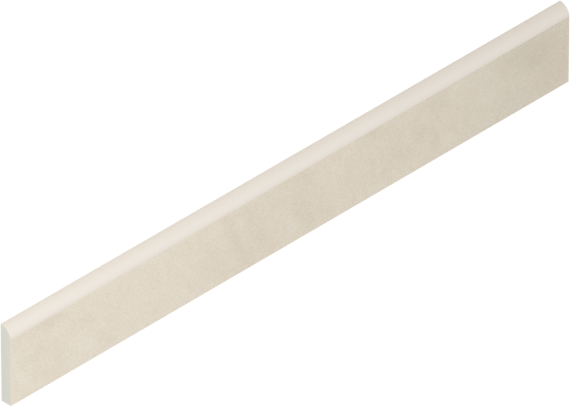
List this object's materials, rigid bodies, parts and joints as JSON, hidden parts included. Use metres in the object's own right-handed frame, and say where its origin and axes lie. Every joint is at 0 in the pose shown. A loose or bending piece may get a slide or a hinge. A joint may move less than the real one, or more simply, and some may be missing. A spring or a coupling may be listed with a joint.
{
  "type": "skirting tile",
  "caption": "Straight skirting tile with a quarter-round top edge, a flat matt face and a keyed back, laid along the foot of a wall.",
  "frame": {"origin": "middle of the back's bed plane, which the ribs of the back lie in", "axes": "+X along the tile, towards its left end as seen on a wall; +Y across it, from the rounded top edge to the sawn floor edge; +Z out of the back, towards the face"},
  "size_m": [0.6, 0.071, 0.0102],
  "materials": {
    "glazed_porcelain": "matte"
  },
  "bodies": {
    "root": {"skirting_tile": "glazed_porcelain"}
  },
  "joints": []
}
